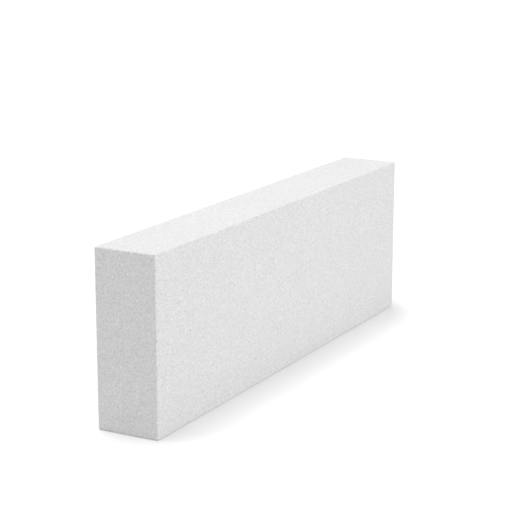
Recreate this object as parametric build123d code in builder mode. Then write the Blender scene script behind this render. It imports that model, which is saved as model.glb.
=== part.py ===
from build123d import *
import os

# Aerated concrete partition block, standing on its long bed face.
# Millimetres. X runs along the block, Y through its thickness and Z up.
# The origin is the middle of the bottom bed face.

# Cut sizes, which set the wall's thickness and the height of a course
length = 600.0
thickness = 75.0
height = 200.0

# Radius of the worn edge where two wire-cut faces meet
arris = 1.5

# The block is cut from a cast cake: its bed face is the outline that the cross wires leave,
# and its height is the distance between two level wires.
with BuildPart() as block:
    with BuildSketch(Plane.XY) as bed_face:
        Rectangle(length, thickness)
    extrude(amount=height)
    fillet(block.edges(), radius=arris)

block.part.label = "block"

os.makedirs("parts", exist_ok=True)
export_step(block.part, "parts/block.step")
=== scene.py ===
# %% [markdown]
# An aerated concrete block
#
# The object is a plain wall block of autoclaved aerated concrete, 600 mm long, 200 mm high and
# 75 mm thick. It is one piece of one material, so everything that makes it look real is in its
# surface: cut bubbles, eased and slightly crumbled edges, and a chalky, matt grain.
#
# The lesson goes from the outside in. It loads the measured block, makes a body of the same size,
# cuts real pores into it with Geometry Nodes, gives it a procedural material, and sets up a small
# photo studio around it.

# %% Load the measured block
import math

import bmesh
import bpy
import numpy as np
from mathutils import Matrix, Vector


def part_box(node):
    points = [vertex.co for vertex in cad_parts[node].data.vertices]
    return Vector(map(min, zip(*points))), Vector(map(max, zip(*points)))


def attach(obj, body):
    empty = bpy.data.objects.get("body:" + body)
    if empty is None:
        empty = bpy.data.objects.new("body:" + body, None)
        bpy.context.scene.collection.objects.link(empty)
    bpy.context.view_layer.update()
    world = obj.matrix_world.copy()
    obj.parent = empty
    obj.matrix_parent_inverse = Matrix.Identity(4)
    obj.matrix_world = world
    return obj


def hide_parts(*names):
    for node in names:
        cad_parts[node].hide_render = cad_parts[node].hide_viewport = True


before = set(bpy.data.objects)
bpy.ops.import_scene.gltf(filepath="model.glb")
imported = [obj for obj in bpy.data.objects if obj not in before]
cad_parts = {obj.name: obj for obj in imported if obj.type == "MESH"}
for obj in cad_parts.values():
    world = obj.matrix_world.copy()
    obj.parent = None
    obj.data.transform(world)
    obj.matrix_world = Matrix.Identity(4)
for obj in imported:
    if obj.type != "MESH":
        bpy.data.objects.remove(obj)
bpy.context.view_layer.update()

# %% [markdown]
# Sizes
#
# Blender works in metres here, while a maker thinks of a block in millimetres. One named factor
# keeps every size in the script readable. The block's length, thickness and height are taken from
# the measured model, so this script can't drift away from it.

# %% Sizes of the block
MM = 0.001
low_corner, high_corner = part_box("block")
block_size = high_corner - low_corner
block_centre = (low_corner + high_corner) / 2
print("block, in mm:", [round(side / MM, 1) for side in block_size])

# %% [markdown]
# Helpers
#
# Two small helpers serve every node tree below. The first adds a node, sets its options and fills
# its inputs: a socket is linked, and anything else becomes the input's value. The second picks an
# output. Both look only at the sockets that the editor would show, because some nodes keep hidden
# twins of a socket for other kinds of data.

# %% Helpers for node trees
def add_node(tree, kind, inputs=None, **options):
    """Adds a node with its options. An input's key is its name, or its place where names repeat."""
    node = tree.nodes.new(kind)
    for name, value in options.items():
        setattr(node, name, value)
    shown = [socket for socket in node.inputs if socket.enabled]
    for key, value in (inputs or {}).items():
        socket = shown[key] if isinstance(key, int) else next(s for s in shown if s.name == key)
        if isinstance(value, bpy.types.NodeSocket):
            tree.links.new(value, socket)
        else:
            socket.default_value = value
    return node


def output(node, name=None):
    """The node's output of that name, or its first one."""
    return next(s for s in node.outputs if s.enabled and name in (None, s.name))


print("helpers ready")

# %% [markdown]
# The block's body
#
# On the real block, taut wires cut a large cake of green concrete into blocks, and handling eases
# the edges by a millimetre or two. A box with bevelled edges says exactly that. A Bevel modifier
# could round them, but bmesh gives a finished mesh at once for the next step to start from. It
# makes a cube, scales it to the measured size and bevels all twelve edges with a few round steps.

# %% Make the body with eased edges
EDGE_RADIUS = 1.5 * MM
EDGE_STEPS = 6


def eased_box(name, size, centre, radius, steps):
    """A closed box mesh whose edges are rounded to a radius in steps. A profile of 0.5 is round."""
    shape = bmesh.new()
    bmesh.ops.create_cube(shape, size=1.0)
    for corner in shape.verts:
        corner.co = centre + Vector(side * part for side, part in zip(size, corner.co))
    bmesh.ops.bevel(
        shape,
        geom=shape.edges[:],
        offset=radius,
        offset_type="OFFSET",
        segments=steps,
        profile=0.5,
        affect="EDGES",
    )
    bmesh.ops.recalc_face_normals(shape, faces=shape.faces)
    mesh = bpy.data.meshes.new(name)
    shape.to_mesh(mesh)
    shape.free()
    return mesh


body_mesh = eased_box("block_body", block_size, block_centre, EDGE_RADIUS, EDGE_STEPS)
body = bpy.data.objects.new("aerated_concrete_block", body_mesh)
bpy.context.scene.collection.objects.link(body)
print("body faces:", len(body_mesh.polygons))

# %% [markdown]
# Pores cut by the wire
#
# The concrete rises like dough, so it is full of round bubbles. The wire cuts through them, and
# the larger ones stay open on every face as bowls. Most of those are about a millimetre wide, and
# a few are over two. Painted dots would look flat near the camera and would leave the mesh smooth,
# so these bowls are real: Geometry Nodes scatter points over the body, put a small ball on each,
# and subtract the balls.
#
# The Poisson disk method keeps the points apart, so no two balls overlap. A random number raised
# to a power makes small pores common and large ones rare. Each ball's centre lies a share of its
# radius inside or outside the face, which gives deep bowls and shallow ones.

# %% Start the tree with named inputs
pore_tree = bpy.data.node_groups.new("Pores and nicks", "GeometryNodeTree")
INPUTS = {
    "Geometry": ("NodeSocketGeometry", None),
    "Pores per square metre": ("NodeSocketFloat", 6000.0),
    "Least spacing": ("NodeSocketFloat", 4.2 * MM),
    "Smallest pore": ("NodeSocketFloat", 0.5 * MM),
    "Largest pore": ("NodeSocketFloat", 1.1 * MM),
    "Rarity of large sizes": ("NodeSocketFloat", 8.0),
    "Deepest centre": ("NodeSocketFloat", -0.4),
    "Shallowest centre": ("NodeSocketFloat", 0.4),
    "Block size": ("NodeSocketVector", tuple(block_size)),
    "Block centre": ("NodeSocketVector", tuple(block_centre)),
    "Nick spacing": ("NodeSocketFloat", 9.0 * MM),
    "Smallest nick": ("NodeSocketFloat", 0.6 * MM),
    "Largest nick": ("NodeSocketFloat", 1.7 * MM),
    "Seed": ("NodeSocketInt", 7),
    "Concrete": ("NodeSocketMaterial", None),
}
for name, (kind, value) in INPUTS.items():
    socket = pore_tree.interface.new_socket(name, in_out="INPUT", socket_type=kind)
    if value is not None:
        socket.default_value = value
pore_tree.interface.new_socket("Geometry", in_out="OUTPUT", socket_type="NodeSocketGeometry")
given = add_node(pore_tree, "NodeGroupInput").outputs
print("tree inputs:", list(INPUTS))

# %% Scatter the pores
scatter = add_node(
    pore_tree,
    "GeometryNodeDistributePointsOnFaces",
    {
        "Mesh": given["Geometry"],
        "Distance Min": given["Least spacing"],
        "Density Max": given["Pores per square metre"],
        "Seed": given["Seed"],
    },
    distribute_method="POISSON",
)
print("pores: at least", round(INPUTS["Least spacing"][1] / MM, 1), "mm apart on every face")

# %% Random sizes
def random_number(least, most, seed_step):
    """A random number for each point, from the tree's seed moved on by a step of its own."""
    seed = add_node(pore_tree, "ShaderNodeMath", {0: given["Seed"], 1: seed_step}, operation="ADD")
    drawn = add_node(
        pore_tree, "FunctionNodeRandomValue", {"Min": least, "Max": most, "Seed": output(seed)}
    )
    return output(drawn)


def skewed_radius(smallest, largest, seed_step):
    """A random radius between two limits, most often near the smallest."""
    drawn = random_number(0.0, 1.0, seed_step)
    rare = add_node(
        pore_tree, "ShaderNodeMath", {0: drawn, 1: given["Rarity of large sizes"]}, operation="POWER"
    )
    sized = add_node(
        pore_tree,
        "ShaderNodeMapRange",
        {"Value": output(rare), "To Min": smallest, "To Max": largest},
    )
    return output(sized)


pore_radius = skewed_radius(given["Smallest pore"], given["Largest pore"], seed_step=1)
pore_limits = [round(INPUTS[name][1] / MM, 2) for name in ("Smallest pore", "Largest pore")]
print("pore radius in mm, from and to:", pore_limits)

# %% [markdown]
# A ball would leave a perfect circle on the face. Real bubbles are slightly squashed, and no two
# are alike, so each ball is stretched a little along its three axes and turned at random. It has
# only eighty faces, about half of which survive as the bowl.

# %% A function that cuts balls out of a solid
LEAST_STRETCH = 0.82
MOST_STRETCH = 1.12


def cut_balls(solid, points, radius, seed):
    """Subtracts one slightly squashed ball at each point from the solid."""
    ball = add_node(pore_tree, "GeometryNodeMeshIcoSphere", {"Radius": 1.0, "Subdivisions": 2})
    stretch = add_node(
        pore_tree,
        "FunctionNodeRandomValue",
        {"Min": (LEAST_STRETCH,) * 3, "Max": (MOST_STRETCH,) * 3, "Seed": seed},
        data_type="FLOAT_VECTOR",
    )
    turn = add_node(
        pore_tree,
        "FunctionNodeRandomValue",
        {"Min": (0.0,) * 3, "Max": (math.tau,) * 3, "Seed": seed + 1},
        data_type="FLOAT_VECTOR",
    )
    scale = add_node(
        pore_tree,
        "ShaderNodeVectorMath",
        {"Vector": output(stretch), "Scale": radius},
        operation="SCALE",
    )
    balls = add_node(
        pore_tree,
        "GeometryNodeInstanceOnPoints",
        {
            "Points": points,
            "Instance": output(ball, "Mesh"),
            "Rotation": output(turn),
            "Scale": output(scale),
        },
    )
    joined = add_node(pore_tree, "GeometryNodeRealizeInstances", {"Geometry": output(balls)})
    cut = add_node(
        pore_tree,
        "GeometryNodeMeshBoolean",
        {"Mesh 1": solid, "Mesh 2": output(joined)},
        operation="DIFFERENCE",
        solver="MANIFOLD",
    )
    return output(cut, "Mesh")


print("ball cutter ready, stretch from", LEAST_STRETCH, "to", MOST_STRETCH)

# %% A function that moves points along a direction
def slide(points, direction, distance, share):
    """Moves each point along its direction by a share of a distance."""
    length = add_node(pore_tree, "ShaderNodeMath", {0: distance, 1: share}, operation="MULTIPLY")
    step = add_node(
        pore_tree,
        "ShaderNodeVectorMath",
        {"Vector": direction, "Scale": output(length)},
        operation="SCALE",
    )
    moved = add_node(
        pore_tree, "GeometryNodeSetPosition", {"Geometry": points, "Offset": output(step)}
    )
    return output(moved)


print("slider ready")

# %% Set the bowls' depth and cut them
depth_share = random_number(given["Deepest centre"], given["Shallowest centre"], seed_step=2)
pore_centres = slide(
    output(scatter, "Points"), output(scatter, "Normal"), pore_radius, depth_share
)
pored = cut_balls(given["Geometry"], pore_centres, pore_radius, seed=20)
depth_limits = [INPUTS[name][1] for name in ("Deepest centre", "Shallowest centre")]
print("bowls: centre off the face, in radii, from and to:", depth_limits)

# %% [markdown]
# Nicks along the edges
#
# Aerated concrete is soft enough to scratch with a nail, so its edges lose crumbs wherever they
# are touched. A noise on the edges would only make them wavy, so here too balls are cut out. The
# twelve edges of a sharp box, turned into curves, carry evenly spaced points. Each point then
# slides a random way along its edge, by up to three tenths of the spacing, and a small ball cut
# there takes out a crumb. Most of these are too small to see one by one, and together they break
# the edge's straight line.

# %% Put points on the edges
sharp_box = add_node(pore_tree, "GeometryNodeMeshCube", {"Size": given["Block size"]})
moved_box = add_node(
    pore_tree,
    "GeometryNodeSetPosition",
    {"Geometry": output(sharp_box, "Mesh"), "Offset": given["Block centre"]},
)
edge_lines = add_node(pore_tree, "GeometryNodeMeshToCurve", {"Mesh": output(moved_box)})
edge_points = add_node(
    pore_tree,
    "GeometryNodeCurveToPoints",
    {"Curve": output(edge_lines), "Length": given["Nick spacing"]},
    mode="LENGTH",
)
print("nicks: one in each", round(INPUTS["Nick spacing"][1] / MM, 1), "mm of edge")

# %% Cut the nicks
NICK_SLIDE = 0.3
slide_share = random_number(-NICK_SLIDE, NICK_SLIDE, seed_step=3)
nick_centres = slide(
    output(edge_points, "Points"), output(edge_points, "Tangent"), given["Nick spacing"], slide_share
)
nick_radius = skewed_radius(given["Smallest nick"], given["Largest nick"], seed_step=4)
nicked = cut_balls(pored, nick_centres, nick_radius, seed=40)
print("nicks slide by up to", NICK_SLIDE, "of their spacing")

# %% [markdown]
# Smooth bowls on flat faces
#
# The cut faces must stay dead flat, and long thin triangles between the bowls would shade badly
# if their corners shared normals with a round edge. So a face that looks straight along X, Y or Z
# keeps flat shading, and every other face is smooth, with a crease wherever two faces meet at
# more than 35 degrees. The tree ends with realized instances and the material.

# %% Find the round faces
STRAIGHT = 0.9999
face_normal = add_node(pore_tree, "GeometryNodeInputNormal")
plus_normal = add_node(
    pore_tree,
    "ShaderNodeVectorMath",
    {"Vector": output(face_normal, "True Normal")},
    operation="ABSOLUTE",
)
normal_parts = add_node(pore_tree, "ShaderNodeSeparateXYZ", {"Vector": output(plus_normal)})
largest_part = 0.0
for axis in "XYZ":
    larger = add_node(
        pore_tree,
        "ShaderNodeMath",
        {0: largest_part, 1: output(normal_parts, axis)},
        operation="MAXIMUM",
    )
    largest_part = output(larger)
is_round = add_node(
    pore_tree, "FunctionNodeCompare", {"A": largest_part, "B": STRAIGHT}, operation="LESS_THAN"
)
print("flat shading where a normal's largest part is at least", STRAIGHT)

# %% Shade, realize and end the tree
CREASE = math.radians(35)
smoothed = add_node(
    pore_tree,
    "GeometryNodeSetShadeSmooth",
    {"Geometry": nicked, "Shade Smooth": output(is_round)},
    domain="FACE",
)
edge_angle = add_node(pore_tree, "GeometryNodeInputMeshEdgeAngle")
is_crease = add_node(
    pore_tree,
    "FunctionNodeCompare",
    {"A": output(edge_angle, "Unsigned Angle"), "B": CREASE},
    operation="GREATER_THAN",
)
creased = add_node(
    pore_tree,
    "GeometryNodeSetShadeSmooth",
    {"Geometry": output(smoothed), "Selection": output(is_crease), "Shade Smooth": False},
    domain="EDGE",
)
realized = add_node(pore_tree, "GeometryNodeRealizeInstances", {"Geometry": output(creased)})
dressed = add_node(
    pore_tree,
    "GeometryNodeSetMaterial",
    {"Geometry": output(realized), "Material": given["Concrete"]},
)
add_node(pore_tree, "NodeGroupOutput", {"Geometry": output(dressed)})
print("tree nodes:", len(pore_tree.nodes))

# %% [markdown]
# Colours
#
# Colours are written as a painter's hex values, which are sRGB, and a material wants linear
# numbers. One function does that step for every colour in the script, with sRGB's own curve: a
# straight piece for the darkest colours and a power above it.

# %% From hex to linear colour
def linear(hex_colour):
    """The linear RGBA of an sRGB hex colour such as #F4F4F4."""
    parts = [int(hex_colour[i : i + 2], 16) / 255 for i in (1, 3, 5)]
    bent = [p / 12.92 if p <= 0.04045 else ((p + 0.055) / 1.055) ** 2.4 for p in parts]
    return (*bent, 1.0)


print("half grey in linear numbers:", [round(part, 3) for part in linear("#808080")])

# %% [markdown]
# The material: wire-cut aerated concrete
#
# Aerated concrete is cement, lime and fine sand around a froth of bubbles, cured in steam. It is
# off-white, has no gloss at all and looks like fine pumice: between the open pores that the mesh
# already has, the face is covered with smaller bubbles. Those are far too many for a mesh, so the
# material draws them, as a relief in real millimetres for the bump and as a slight darkening.
# That darkening is painted shade, for light that falls into a bubble and doesn't all come out again.
#
# Noise and cell patterns are built on a hidden square grid, and a face that runs along that grid
# would show it as a weave. A Mapping node turns the grid askew, so that no face does. A cut bubble
# is never a perfect circle, so a fine noise then pushes every point a little. The noise runs from
# 0 to 1, so no point moves by more than the push along any axis.

# %% Start the material and place its pattern
ASKEW = tuple(math.radians(turn) for turn in (23, 40, 63))
WOBBLE_WIDTH = 1.2 * MM
WOBBLE_PUSH = 1.4 * MM
concrete = bpy.data.materials.new("Aerated concrete, wire-cut and steam-cured")
concrete.use_nodes = True
tree = concrete.node_tree
tree.nodes.clear()
on_block = add_node(tree, "ShaderNodeTexCoord")
turned = add_node(
    tree, "ShaderNodeMapping", {"Vector": output(on_block, "Object"), "Rotation": ASKEW}
)
wobble = add_node(
    tree,
    "ShaderNodeTexNoise",
    {"Vector": output(turned), "Scale": 1 / WOBBLE_WIDTH, "Detail": 1.0},
)
pushed = add_node(
    tree,
    "ShaderNodeVectorMath",
    {0: output(wobble, "Color"), 1: (WOBBLE_PUSH,) * 3, 2: output(turned)},
    operation="MULTIPLY_ADD",
)
place = output(pushed)
print("material:", concrete.name)

# %% [markdown]
# Voronoi cells are a good model of a froth. They fill the whole block, not only its faces, and the
# distance to a cell's middle makes a ball there. A face then cuts the balls anywhere, as the wire
# cuts the bubbles, and each ball gets its own size from its cell's random colour. The texture
# measures that distance in cells, so a bubble's radius is divided by the width of a cell.

# %% Two froths
def froth(cell, smallest, largest):
    """Bubbles in cells of a given width. Returns how deep a point lies in its own, from 0 to 1."""
    cells = add_node(tree, "ShaderNodeTexVoronoi", {"Vector": place, "Scale": 1 / cell})
    drawn = output(add_node(tree, "ShaderNodeSeparateColor", {"Color": output(cells, "Color")}))
    rim = add_node(
        tree,
        "ShaderNodeMapRange",
        {"Value": drawn, "To Min": smallest / cell / 2, "To Max": largest / cell / 2},
    )
    outward = add_node(
        tree, "ShaderNodeMath", {0: output(cells, "Distance"), 1: output(rim)}, operation="DIVIDE"
    )
    bowl = add_node(
        tree,
        "ShaderNodeMapRange",
        {"Value": output(outward), "From Min": 1.0, "From Max": 0.0},
        interpolation_type="SMOOTHSTEP",
    )
    return output(bowl)


FINE_WIDTH = 1.4 * MM
COARSE_WIDTH = 2.4 * MM
fine_froth = froth(cell=1.4 * MM, smallest=0.4 * MM, largest=FINE_WIDTH)
coarse_froth = froth(cell=2.6 * MM, smallest=0.1 * MM, largest=COARSE_WIDTH)
print("bubbles' largest widths in mm:", [round(w / MM, 1) for w in (FINE_WIDTH, COARSE_WIDTH)])

# %% [markdown]
# The walls between the bubbles are uneven too, because the wire smears the soft cake and tears out
# grains of sand. A noise gives that, a little raised, with painted shade in its hollows, so that its
# tops look lighter. Real sand in such concrete is finer than half a millimetre, which is less than
# half a pixel of the render, so the noise has lumps of 2.2 mm, just coarse enough to show.
#
# The two froths and the grain add up to a relief. It counts in metres, because the bump's distance
# is 1, so its depths are real ones.

# %% Relief
GRAIN_WIDTH = 2.2 * MM
FINE_DEPTH = 0.25 * MM
COARSE_DEPTH = 0.40 * MM
GRAIN_HEIGHT = 0.10 * MM
grain = add_node(
    tree,
    "ShaderNodeTexNoise",
    {"Vector": place, "Scale": 1 / GRAIN_WIDTH, "Detail": 1.0, "Roughness": 0.6},
)
relief_layers = [
    (fine_froth, -FINE_DEPTH),
    (coarse_froth, -COARSE_DEPTH),
    (output(grain, "Fac"), GRAIN_HEIGHT),
]
relief = 0.0
for layer, height in relief_layers:
    added = add_node(
        tree, "ShaderNodeMath", {0: layer, 1: height, 2: relief}, operation="MULTIPLY_ADD"
    )
    relief = output(added)
bumps = add_node(tree, "ShaderNodeBump", {"Strength": 1.0, "Distance": 1.0, "Height": relief})
print("relief in mm:", [round(height / MM, 2) for _, height in relief_layers])

# %% [markdown]
# The colour follows the same relief with painted shade: the bubbles and the grain's hollows are
# darker, so dark spots and dents agree. Very weak clouds some centimetres wide are added, where the
# mix was a little denser or wetter. A noise stays near its middle, so the grain and the clouds are
# first stretched from the limits that they mostly keep within to the whole range from 0 to 1. A
# hollow is where the grain is low, so its limits run downwards.

# %% Hollows of the grain, and clouds
CLOUD_WIDTH = 60 * MM
HOLLOW_FROM, HOLLOW_TO = 0.7, 0.3
CLOUD_FROM, CLOUD_TO = 0.35, 0.65
# Painted shade: the colour darkens where the grain is low, in its hollows
hollow = add_node(
    tree,
    "ShaderNodeMapRange",
    {"Value": output(grain, "Fac"), "From Min": HOLLOW_FROM, "From Max": HOLLOW_TO},
)
clouds = add_node(
    tree,
    "ShaderNodeTexNoise",
    {"Vector": place, "Scale": 1 / CLOUD_WIDTH, "Detail": 1.0, "Roughness": 0.5},
)
cloud = add_node(
    tree,
    "ShaderNodeMapRange",
    {"Value": output(clouds, "Fac"), "From Min": CLOUD_FROM, "From Max": CLOUD_TO},
)
print("clouds in mm:", round(CLOUD_WIDTH / MM))

# %% [markdown]
# Each layer then adds its share of the way from the chalk colour to the colour of a shaded pore.
# For the bubbles and the grain's hollows that share is painted shade, and for the clouds it is tone.

# %% Shade
FINE_SHADE = 0.38
COARSE_SHADE = 0.36
HOLLOW_SHADE = 0.28
CLOUD_SHADE = 0.015
# Painted shade for the bubbles and the grain's hollows, plus the clouds' own tone
shade_layers = [
    (fine_froth, FINE_SHADE),
    (coarse_froth, COARSE_SHADE),
    (output(hollow), HOLLOW_SHADE),
    (output(cloud), CLOUD_SHADE),
]
shade = 0.0
for layer, share in shade_layers:
    added = add_node(
        tree, "ShaderNodeMath", {0: layer, 1: share, 2: shade}, operation="MULTIPLY_ADD"
    )
    shade = output(added)
print("shade, most of each layer:", [share for _, share in shade_layers])

# %% [markdown]
# Last come small specks that are whiter than the rest: painted highlights, which stand in for the
# lit rims of pores. They are balls in much wider cells, so that only a few of them reach a face: one
# every two centimetres or so. A speck is whitest in its heart and fades out at its radius.

# %% Colour
CHALK = "#F4F4F4"
SHADED_PORE = "#B0B0B0"
# The specks' colour: a painted highlight for the lit rims of pores
RIM_HIGHLIGHT = "#FCFCFC"
SPECK_CELL = 9 * MM
SPECK_RADIUS = 1.3 * MM
SPECK_HEART = 0.8 * MM
# The chalk colour with the painted shade and the clouds' tone mixed in
chalk = add_node(
    tree,
    "ShaderNodeMix",
    {"Factor": shade, "A": linear(CHALK), "B": linear(SHADED_PORE)},
    data_type="RGBA",
)
speck_cells = add_node(tree, "ShaderNodeTexVoronoi", {"Vector": place, "Scale": 1 / SPECK_CELL})
speck = add_node(
    tree,
    "ShaderNodeMapRange",
    {
        "Value": output(speck_cells, "Distance"),
        "From Min": SPECK_RADIUS / SPECK_CELL,
        "From Max": SPECK_HEART / SPECK_CELL,
    },
)
# Mixes in the specks, painted highlights for the lit rims of pores
colour = add_node(
    tree,
    "ShaderNodeMix",
    {"Factor": output(speck), "A": output(chalk), "B": linear(RIM_HIGHLIGHT)},
    data_type="RGBA",
)
print("highlight specks up to", round(2 * SPECK_RADIUS / MM, 1), "mm wide")

# %% [markdown]
# Chalky mineral dust scatters light almost evenly to all sides, so the roughness is close to 1.
# Its minerals bend light with an IOR of about 1.5, but the open pores swallow half of what they
# would mirror, so the specular level is half of the usual 0.5.

# %% Finish the material
surface = add_node(
    tree,
    "ShaderNodeBsdfPrincipled",
    {
        "Base Color": output(colour),
        "Roughness": 0.95,
        "IOR": 1.5,
        "Specular IOR Level": 0.25,
        "Normal": output(bumps),
    },
)
add_node(tree, "ShaderNodeOutputMaterial", {"Surface": output(surface)})
print("material nodes:", len(tree.nodes))

# %% [markdown]
# Run the tree
#
# The modifier gets its material by the socket's identifier, before Blender first evaluates the
# object. The evaluated result is then copied into a plain mesh, and the modifier goes.

# %% Cut the pores and keep the mesh
cutter = body.modifiers.new("Pores and nicks", "NODES")
cutter.node_group = pore_tree
identifiers = {
    item.name: item.identifier
    for item in pore_tree.interface.items_tree
    if item.in_out == "INPUT"
}
cutter[identifiers["Concrete"]] = concrete
evaluated = body.evaluated_get(bpy.context.evaluated_depsgraph_get())
block_mesh = bpy.data.meshes.new_from_object(evaluated)
block_mesh.name = body.name
body.modifiers.remove(cutter)
body.data = block_mesh
bpy.data.meshes.remove(body_mesh)
block_mesh.calc_loop_triangles()
print("block triangles:", len(block_mesh.loop_triangles))

# %% Test that the block is closed
LITRES_IN_A_CUBIC_METRE = 1000
test = bmesh.new()
test.from_mesh(block_mesh)
open_edges = sum(not edge.is_manifold for edge in test.edges)
litres = test.calc_volume() * LITRES_IN_A_CUBIC_METRE
test.free()
print("open edges:", open_edges, "volume in litres:", round(litres, 3))

# %% [markdown]
# A map for baking
#
# A game or a viewer wants the material as pictures, and a picture needs a map of the surface. The
# block unfolds like a cardboard box: each of its six sides is a rectangle, laid out at one scale
# on a square sheet, in five rows. A bowl belongs to the side that it was cut into, and is
# flattened onto it. An automatic unwrap would have torn the bowls into thousands of scraps.

# %% Name the six sides, row by row
# Each side is the axis that it faces and its sign, then the axes that run across and up the sheet
X, Y, Z = range(3)
SHEET_ROWS = [
    [(Y, -1, X, Z)],
    [(Y, 1, X, Z)],
    [(Z, -1, X, Y)],
    [(Z, 1, X, Y)],
    [(X, -1, Z, Y), (X, 1, Z, Y)],
]
SIDES = [side for row in SHEET_ROWS for side in row]
print("sides:", len(SIDES), "in", len(SHEET_ROWS), "rows")

# %% Find each corner's place and side
def read(items, name, width, kind=float):
    """One property of many mesh items, as an array with one row for each item."""
    values = np.empty(len(items) * width, kind)
    items.foreach_get(name, values)
    return values.reshape(-1, width)


corner_count = read(block_mesh.polygons, "loop_total", 1, int)[:, 0]
vertex_places = read(block_mesh.vertices, "co", 3) - np.array(block_centre)
corner_places = vertex_places[read(block_mesh.loops, "vertex_index", 1, int)[:, 0]]
face_middles = read(block_mesh.polygons, "center", 3) - np.array(block_centre)
depths = [block_size[axis] / 2 - sign * face_middles[:, axis] for axis, sign, _, _ in SIDES]
corner_sides = np.repeat(np.argmin(depths, axis=0), corner_count)
print("face corners on each side:", np.bincount(corner_sides).tolist())

# %% Lay the sides out
SHEET_GAP = 6 * MM
sheet_spots = np.empty((len(corner_places), 2))
bottom = SHEET_GAP
for row in SHEET_ROWS:
    left = SHEET_GAP
    for side in row:
        _, _, across, up = side
        here = corner_sides == SIDES.index(side)
        sheet_spots[here, 0] = left + corner_places[here, across] + block_size[across] / 2
        sheet_spots[here, 1] = bottom + corner_places[here, up] + block_size[up] / 2
        left += block_size[across] + SHEET_GAP
    bottom += block_size[up] + SHEET_GAP
sheet_side = max(bottom, block_size[X] + 2 * SHEET_GAP)
bake_map = block_mesh.uv_layers.new(name="OFBake")
bake_map.uv.foreach_set("vector", (sheet_spots / sheet_side).astype(np.float32).ravel())
print("sheet side in mm:", round(sheet_side / MM, 1))

# %% [markdown]
# Studio
#
# The photograph shows the block on white paper that has no visible end, in soft light. A plane
# that reaches past the camera's view is the paper. A curved backdrop could stand there too, but
# nothing of its curve would show. The paper has no gloss, so all that it gives the eye is an even
# white and the block's soft shadow.
#
# Such a white would be too bright a neighbour for the block if it also lit the block from all
# round. So the paper has two looks. Rays of light that bounce between the paper and the block meet
# a pale grey sheet. Rays from the camera, and any from a mirror or glass, meet a white one.

# %% A switch for rays that see white
def sees_white(tree):
    """1 for a ray from the camera, a mirror or glass, and 0 for every other ray."""
    path = add_node(tree, "ShaderNodeLightPath")
    share = output(path, "Is Camera Ray")
    for other in ("Is Glossy Ray", "Is Transmission Ray"):
        either = add_node(
            tree, "ShaderNodeMath", {0: share, 1: output(path, other)}, operation="MAXIMUM"
        )
        share = output(either)
    return share


print("switch ready")

# %% [markdown]
# The white look has two zones. Near the block it is white paper with a very little light of its
# own, which keeps the soft shadow. Further out it fades into an even white light, so that the
# surround is as white as the photograph's whatever the lamps do. That light is a tenth over the
# strength of 1 that is just white, so that small errors of the denoiser don't tint the border.

# %% Paper
WHITE = "#FFFFFF"
PALE_GREY = "#D0D0D0"
GLOW = 0.06
WHITE_STRENGTH = 1.1
paper = bpy.data.materials.new("Seamless paper, matt white")
paper.use_nodes = True
paper_tree = paper.node_tree
paper_tree.nodes.clear()
lit_paper = add_node(paper_tree, "ShaderNodeBsdfDiffuse", {"Color": linear(PALE_GREY)})
white_paper = add_node(paper_tree, "ShaderNodeBsdfDiffuse", {"Color": linear(WHITE)})
glow = add_node(paper_tree, "ShaderNodeEmission", {"Color": linear(WHITE), "Strength": GLOW})
near_paper = add_node(paper_tree, "ShaderNodeAddShader", {0: output(white_paper), 1: output(glow)})
white_light = add_node(
    paper_tree, "ShaderNodeEmission", {"Color": linear(WHITE), "Strength": WHITE_STRENGTH}
)
print("paper's glow:", GLOW, "white light:", WHITE_STRENGTH)

# %% [markdown]
# In the photograph the shadow narrows towards both ends of the block and stops at them. So the
# fade is measured from a line on the floor that is shorter than the block. It lies a little
# behind the block's middle, because the shadow is wider on that side.
#
# The steps below find how far a point is from that line. They move the line to the middle, fold
# the four quarters of the floor into one, take away half the line's length, keep only what lies
# past its end, and measure what is left.

# %% Measure the distance from the line
LINE_INSET = 100 * MM
LINE_BEHIND = 60 * MM
line_half = block_size[0] / 2 - LINE_INSET
line_steps = [
    ("SUBTRACT", {1: (0.0, LINE_BEHIND, 0.0)}),
    ("ABSOLUTE", {}),
    ("SUBTRACT", {1: (line_half, 0.0, 0.0)}),
    ("MAXIMUM", {1: (0.0, 0.0, 0.0)}),
    ("LENGTH", {}),
]
off_line = output(add_node(paper_tree, "ShaderNodeTexCoord"), "Object")
for step, amount in line_steps:
    measured = add_node(paper_tree, "ShaderNodeVectorMath", {0: off_line, **amount}, operation=step)
    off_line = output(measured)
print("line's length in mm:", round(2 * line_half / MM))

# %% Fade and switch
FADE_START = 125 * MM
FADE_END = 185 * MM
far_share = add_node(
    paper_tree,
    "ShaderNodeMapRange",
    {"Value": off_line, "From Min": FADE_START, "From Max": FADE_END},
    interpolation_type="SMOOTHSTEP",
)
seen_paper = add_node(
    paper_tree,
    "ShaderNodeMixShader",
    {"Fac": output(far_share), 1: output(near_paper), 2: output(white_light)},
)
paper_face = add_node(
    paper_tree,
    "ShaderNodeMixShader",
    {"Fac": sees_white(paper_tree), 1: output(lit_paper), 2: output(seen_paper)},
)
add_node(paper_tree, "ShaderNodeOutputMaterial", {"Surface": output(paper_face)})
print("paper fades to white light, in mm off the line:", [round(FADE_START / MM), round(FADE_END / MM)])

# %% Floor
FLOOR_REACH = 14.0
floor_mesh = bpy.data.meshes.new("studio_floor")
floor_corners = [
    (x * FLOOR_REACH, y * FLOOR_REACH, 0.0) for x, y in ((-1, -1), (1, -1), (1, 1), (-1, 1))
]
floor_mesh.from_pydata(floor_corners, [], [(0, 1, 2, 3)])
floor_mesh.materials.append(paper)
floor = bpy.data.objects.new("studio_floor", floor_mesh)
bpy.context.scene.collection.objects.link(floor)
print("floor reaches", FLOOR_REACH, "m each way")

# %% [markdown]
# The room around the studio gives a weak even light, and it has the same switch, so that the
# camera sees a white wall above the paper.

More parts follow.
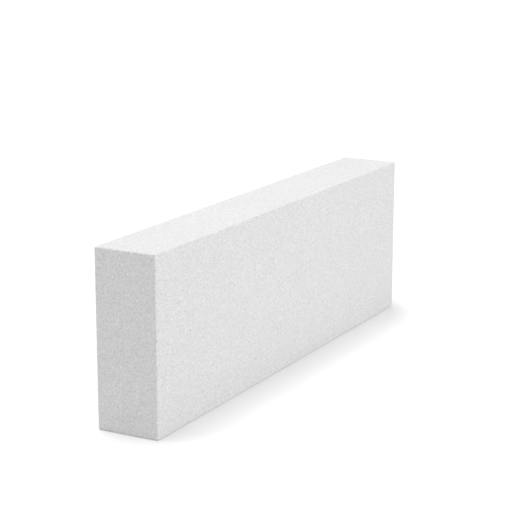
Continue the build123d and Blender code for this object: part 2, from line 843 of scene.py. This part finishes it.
# %% Room
ROOM_LIGHT = 0.5
studio = bpy.data.worlds.new("Studio")
studio.use_nodes = True
room_tree = studio.node_tree
room_tree.nodes.clear()
room_light = add_node(
    room_tree, "ShaderNodeBackground", {"Color": linear(WHITE), "Strength": ROOM_LIGHT}
)
white_wall = add_node(
    room_tree, "ShaderNodeBackground", {"Color": linear(WHITE), "Strength": WHITE_STRENGTH}
)
room = add_node(
    room_tree,
    "ShaderNodeMixShader",
    {"Fac": sees_white(room_tree), 1: output(room_light), 2: output(white_wall)},
)
add_node(room_tree, "ShaderNodeOutputWorld", {"Surface": output(room)})
bpy.context.scene.world = studio
print("room light:", ROOM_LIGHT)

# %% [markdown]
# Four soft boxes give each side of the block its own brightness, as in the photograph. The largest
# hangs overhead and a little behind, for the bright top. A low one faces the broad side, a weaker
# one faces the near end, which is a step darker, and the weakest stands behind the far end, so
# that the two hidden sides aren't dull when someone walks round the block. Their places and sizes
# are in metres.

# %% Soft boxes
def soft_box(name, stands_at, width, height, watts):
    """A rectangular area light that faces the block."""
    light = bpy.data.lights.new(name, "AREA")
    light.shape = "RECTANGLE"
    light.size, light.size_y = width, height
    light.energy = watts
    lamp = bpy.data.objects.new(name, light)
    lamp.location = stands_at
    towards_block = block_centre - Vector(stands_at)
    lamp.rotation_euler = towards_block.to_track_quat("-Z", "Y").to_euler()
    bpy.context.scene.collection.objects.link(lamp)


soft_box("overhead_box", stands_at=(-0.13, 0.59, 2.8), width=1.4, height=1.2, watts=35.5)
soft_box("front_box", stands_at=(0.18, -2.74, 0.68), width=1.2, height=1.2, watts=30.0)
soft_box("end_box", stands_at=(-2.74, 0.0, 0.68), width=1.2, height=1.2, watts=9.7)
soft_box("back_box", stands_at=(2.37, 1.37, 0.68), width=1.2, height=1.2, watts=6.6)
print("lights:", [light.name for light in bpy.data.lights])

# %% [markdown]
# Camera
#
# The photograph was taken from the block's left end, slightly above it, through a long lens. The
# place, in metres, the turn and the lens, in millimetres, were fitted to the block's seven visible
# corners. The heading is counted from the Y axis towards the X axis, and the tilt downwards.
#
# The photograph's uprights are parallel, as from a lens with shift. This camera has none, because
# a shift of that size would throw the block out of every other view, so its uprights lean a little.

# %% Camera
CAMERA_PLACE = Vector((-1.619, -0.874, 0.578))
HEADING = math.radians(61.34)
TILT = math.radians(13.66)
LENS = 111.66
SENSOR_WIDTH = 36.0
look = Vector(
    (
        math.sin(HEADING) * math.cos(TILT),
        math.cos(HEADING) * math.cos(TILT),
        -math.sin(TILT),
    )
)
camera_data = bpy.data.cameras.new("camera")
camera_data.lens = LENS
camera_data.sensor_width = SENSOR_WIDTH
camera = bpy.data.objects.new("camera", camera_data)
camera.location = CAMERA_PLACE
camera.rotation_euler = look.to_track_quat("-Z", "Y").to_euler()
bpy.context.scene.collection.objects.link(camera)
bpy.context.scene.camera = camera
bpy.context.scene.view_settings.view_transform = "Standard"
print("camera distance in metres:", round((CAMERA_PLACE - block_centre).length, 3))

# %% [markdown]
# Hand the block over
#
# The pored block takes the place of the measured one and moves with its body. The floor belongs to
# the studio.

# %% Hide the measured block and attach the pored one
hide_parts("block")
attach(body, "root")
